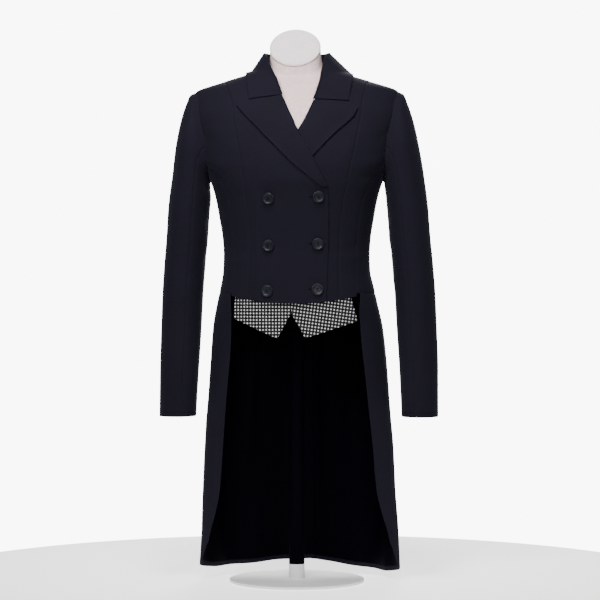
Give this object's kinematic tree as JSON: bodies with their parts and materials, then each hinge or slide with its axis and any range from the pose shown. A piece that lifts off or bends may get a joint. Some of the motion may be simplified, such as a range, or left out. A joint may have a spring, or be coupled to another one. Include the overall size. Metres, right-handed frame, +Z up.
{
  "type": "shadbelly coat on a dress form with a stand",
  "caption": "Double-breasted tailcoat with peaked lapels, long tails and checked vest points, hung on a limbless linen dress form that stands on a pole and a round base.",
  "frame": {"origin": "middle of the bounding box on the floor, under the base of the stand", "axes": "+Z up, -Y the way the coat faces, +X towards the wearer's left"},
  "size_m": [0.5348, 0.2696, 1.0678],
  "materials": {
    "suiting": "matte woven",
    "lining": "soft satin",
    "check": "matte woven check",
    "button": "satin moulded",
    "linen": "plain weave",
    "cap_linen": "plain weave",
    "stand_steel": "matt powder coat"
  },
  "bodies": {
    "root": {"front_right": "suiting", "front_left": "suiting", "side_front_right": "suiting", "side_front_left": "suiting", "side_body_right": "suiting", "side_body_left": "suiting", "back_right": "suiting", "back_left": "suiting", "sleeve_top_right": "suiting", "sleeve_top_left": "suiting", "sleeve_under_right": "suiting", "sleeve_under_left": "suiting", "lapel_right": "suiting", "lapel_left": "suiting", "collar": "suiting", "tail_right": "suiting", "tail_left": "suiting", "tail_lining_right": "lining", "tail_lining_left": "lining", "vest_point_right": "check", "vest_point_left": "check", "button_1": "button", "button_2": "button", "button_3": "button", "button_4": "button", "button_5": "button", "button_6": "button", "form_torso": "linen", "neck_cap": "cap_linen", "stand": "stand_steel"}
  },
  "joints": []
}
